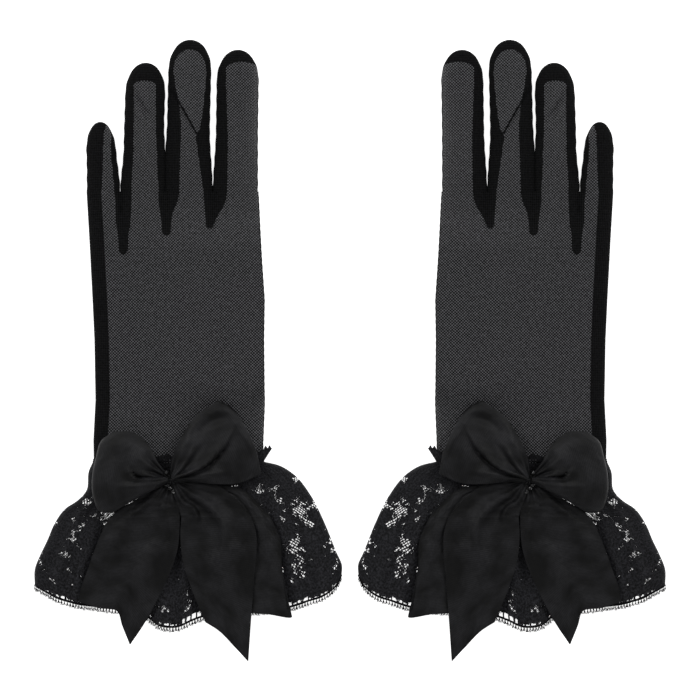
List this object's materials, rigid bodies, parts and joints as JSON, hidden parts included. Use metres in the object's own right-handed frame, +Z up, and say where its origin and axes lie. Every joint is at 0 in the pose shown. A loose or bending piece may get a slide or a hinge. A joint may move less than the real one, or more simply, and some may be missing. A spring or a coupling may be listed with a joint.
{
  "type": "evening glove pair",
  "caption": "Short sheer net evening gloves with opaque fourchettes, flared lace cuffs and satin ribbon bows, worn on the hands for dress.",
  "frame": {"origin": "centre of the pair's footprint, on the surface that the gloves lie on", "axes": "+Z up out of the backs of the hands, +Y to the fingertips, +X from the left glove to the right glove"},
  "size_m": [0.3028, 0.2982, 0.0233],
  "materials": {
    "net": "sheer knitted nylon net",
    "fourchette": "matte opaque stretch knit",
    "lace": "corded floral lace on a net ground",
    "satin": "single-faced satin ribbon, soft sheen",
    "bead": "polished black bead"
  },
  "bodies": {
    "left_hand": {"left_back_panel": "net", "left_palm_panel": "net", "left_side_band": "fourchette", "left_fourchette_pinky_ring": "fourchette", "left_fourchette_ring_middle": "fourchette", "left_fourchette_middle_index": "fourchette", "left_lace_heading": "lace", "left_bow_knot": "satin"},
    "left_pinky_finger": {"left_pinky_back": "net", "left_pinky_palm": "net", "left_pinky_outer_strip": "fourchette", "left_pinky_inner_strip": "fourchette"},
    "left_ring_finger": {"left_ring_back": "net", "left_ring_palm": "net", "left_ring_outer_strip": "fourchette", "left_ring_inner_strip": "fourchette"},
    "left_middle_finger": {"left_middle_back": "net", "left_middle_palm": "net", "left_middle_outer_strip": "fourchette", "left_middle_inner_strip": "fourchette"},
    "left_index_finger": {"left_index_back": "net", "left_index_palm": "net", "left_index_outer_strip": "fourchette"},
    "left_thumb": {"left_thumb": "net"},
    "left_cuff": {"left_lace_flounce": "lace"},
    "left_outer_loop": {"left_bow_outer_loop": "satin"},
    "left_inner_loop": {"left_bow_inner_loop": "satin"},
    "left_outer_tail": {"left_bow_outer_tail": "satin"},
    "left_inner_tail": {"left_bow_inner_tail": "satin"},
    "left_back_tail": {"left_bow_back_tail": "satin"},
    "right_hand": {"right_back_panel": "net", "right_palm_panel": "net", "right_side_band": "fourchette", "right_fourchette_pinky_ring": "fourchette", "right_fourchette_ring_middle": "fourchette", "right_fourchette_middle_index": "fourchette", "right_lace_heading": "lace", "right_bow_knot": "satin"},
    "right_pinky_finger": {"right_pinky_back": "net", "right_pinky_palm": "net", "right_pinky_outer_strip": "fourchette", "right_pinky_inner_strip": "fourchette"},
    "right_ring_finger": {"right_ring_back": "net", "right_ring_palm": "net", "right_ring_outer_strip": "fourchette", "right_ring_inner_strip": "fourchette"},
    "right_middle_finger": {"right_middle_back": "net", "right_middle_palm": "net", "right_middle_outer_strip": "fourchette", "right_middle_inner_strip": "fourchette"},
    "right_index_finger": {"right_index_back": "net", "right_index_palm": "net", "right_index_outer_strip": "fourchette"},
    "right_thumb": {"right_thumb": "net"},
    "right_cuff": {"right_lace_flounce": "lace"},
    "right_outer_loop": {"right_bow_outer_loop": "satin"},
    "right_inner_loop": {"right_bow_inner_loop": "satin"},
    "right_outer_tail": {"right_bow_outer_tail": "satin"},
    "right_inner_tail": {"right_bow_inner_tail": "satin"},
    "right_back_tail": {"right_bow_back_tail": "satin"}
  },
  "joints": [
    {"name": "left_pinky_fold", "type": "hinge", "parent": "left_hand", "child": "left_pinky_finger", "pos_m": [-0.11905, 0.07615, 0.01], "axis": [1, 0, 0], "range_deg": [0, 75]},
    {"name": "left_ring_fold", "type": "hinge", "parent": "left_hand", "child": "left_ring_finger", "pos_m": [-0.09895, 0.07615, 0.01], "axis": [1, 0, 0], "range_deg": [0, 75]},
    {"name": "left_middle_fold", "type": "hinge", "parent": "left_hand", "child": "left_middle_finger", "pos_m": [-0.07755, 0.07615, 0.01], "axis": [1, 0, 0], "range_deg": [0, 75]},
    {"name": "left_index_fold", "type": "hinge", "parent": "left_hand", "child": "left_index_finger", "pos_m": [-0.05425, 0.07615, 0.01], "axis": [1, 0, 0], "range_deg": [0, 75]},
    {"name": "left_thumb_swing", "type": "hinge", "parent": "left_hand", "child": "left_thumb", "pos_m": [-0.0589, -0.005, 0.004], "axis": [0, 0, -1], "range_deg": [0, 45]},
    {"name": "left_cuff_fold", "type": "hinge", "parent": "left_hand", "child": "left_cuff", "pos_m": [-0.0769, -0.0799, 0.0121], "axis": [-1, 0, 0], "range_deg": [0, 30]},
    {"name": "left_outer_loop_lift", "type": "hinge", "parent": "left_hand", "child": "left_outer_loop", "pos_m": [-0.09178, -0.06045, 0.0152], "axis": [0.0872, 0.9962, 0], "range_deg": [0, 60]},
    {"name": "left_inner_loop_lift", "type": "hinge", "parent": "left_hand", "child": "left_inner_loop", "pos_m": [-0.0804, -0.0573, 0.0152], "axis": [0.5878, -0.809, 0], "range_deg": [0, 60]},
    {"name": "left_outer_tail_lift", "type": "hinge", "parent": "left_cuff", "child": "left_outer_tail", "pos_m": [-0.0981, -0.0799, 0.0121], "axis": [-1, 0, 0], "range_deg": [0, 60]},
    {"name": "left_inner_tail_lift", "type": "hinge", "parent": "left_cuff", "child": "left_inner_tail", "pos_m": [-0.0637, -0.0799, 0.0121], "axis": [-1, 0, 0], "range_deg": [0, 60]},
    {"name": "left_back_tail_lift", "type": "hinge", "parent": "left_cuff", "child": "left_back_tail", "pos_m": [-0.04175, -0.0799, 0.0121], "axis": [-1, 0, 0], "range_deg": [0, 60]},
    {"name": "pair_apart", "type": "slide", "parent": "left_hand", "child": "right_hand", "axis": [1, 0, 0], "range_m": [0, 0.1]},
    {"name": "right_pinky_fold", "type": "hinge", "parent": "right_hand", "child": "right_pinky_finger", "pos_m": [0.11905, 0.07615, 0.01], "axis": [1, 0, 0], "range_deg": [0, 75]},
    {"name": "right_ring_fold", "type": "hinge", "parent": "right_hand", "child": "right_ring_finger", "pos_m": [0.09895, 0.07615, 0.01], "axis": [1, 0, 0], "range_deg": [0, 75]},
    {"name": "right_middle_fold", "type": "hinge", "parent": "right_hand", "child": "right_middle_finger", "pos_m": [0.07755, 0.07615, 0.01], "axis": [1, 0, 0], "range_deg": [0, 75]},
    {"name": "right_index_fold", "type": "hinge", "parent": "right_hand", "child": "right_index_finger", "pos_m": [0.05425, 0.07615, 0.01], "axis": [1, 0, 0], "range_deg": [0, 75]},
    {"name": "right_thumb_swing", "type": "hinge", "parent": "right_hand", "child": "right_thumb", "pos_m": [0.0589, -0.005, 0.004], "axis": [0, 0, 1], "range_deg": [0, 45]},
    {"name": "right_cuff_fold", "type": "hinge", "parent": "right_hand", "child": "right_cuff", "pos_m": [0.0769, -0.0799, 0.0121], "axis": [-1, 0, 0], "range_deg": [0, 30]},
    {"name": "right_outer_loop_lift", "type": "hinge", "parent": "right_hand", "child": "right_outer_loop", "pos_m": [0.09178, -0.06045, 0.0152], "axis": [0.0872, -0.9962, 0], "range_deg": [0, 60]},
    {"name": "right_inner_loop_lift", "type": "hinge", "parent": "right_hand", "child": "right_inner_loop", "pos_m": [0.0804, -0.0573, 0.0152], "axis": [0.5878, 0.809, 0], "range_deg": [0, 60]},
    {"name": "right_outer_tail_lift", "type": "hinge", "parent": "right_cuff", "child": "right_outer_tail", "pos_m": [0.0981, -0.0799, 0.0121], "axis": [-1, 0, 0], "range_deg": [0, 60]},
    {"name": "right_inner_tail_lift", "type": "hinge", "parent": "right_cuff", "child": "right_inner_tail", "pos_m": [0.0637, -0.0799, 0.0121], "axis": [-1, 0, 0], "range_deg": [0, 60]},
    {"name": "right_back_tail_lift", "type": "hinge", "parent": "right_cuff", "child": "right_back_tail", "pos_m": [0.04175, -0.0799, 0.0121], "axis": [-1, 0, 0], "range_deg": [0, 60]}
  ]
}
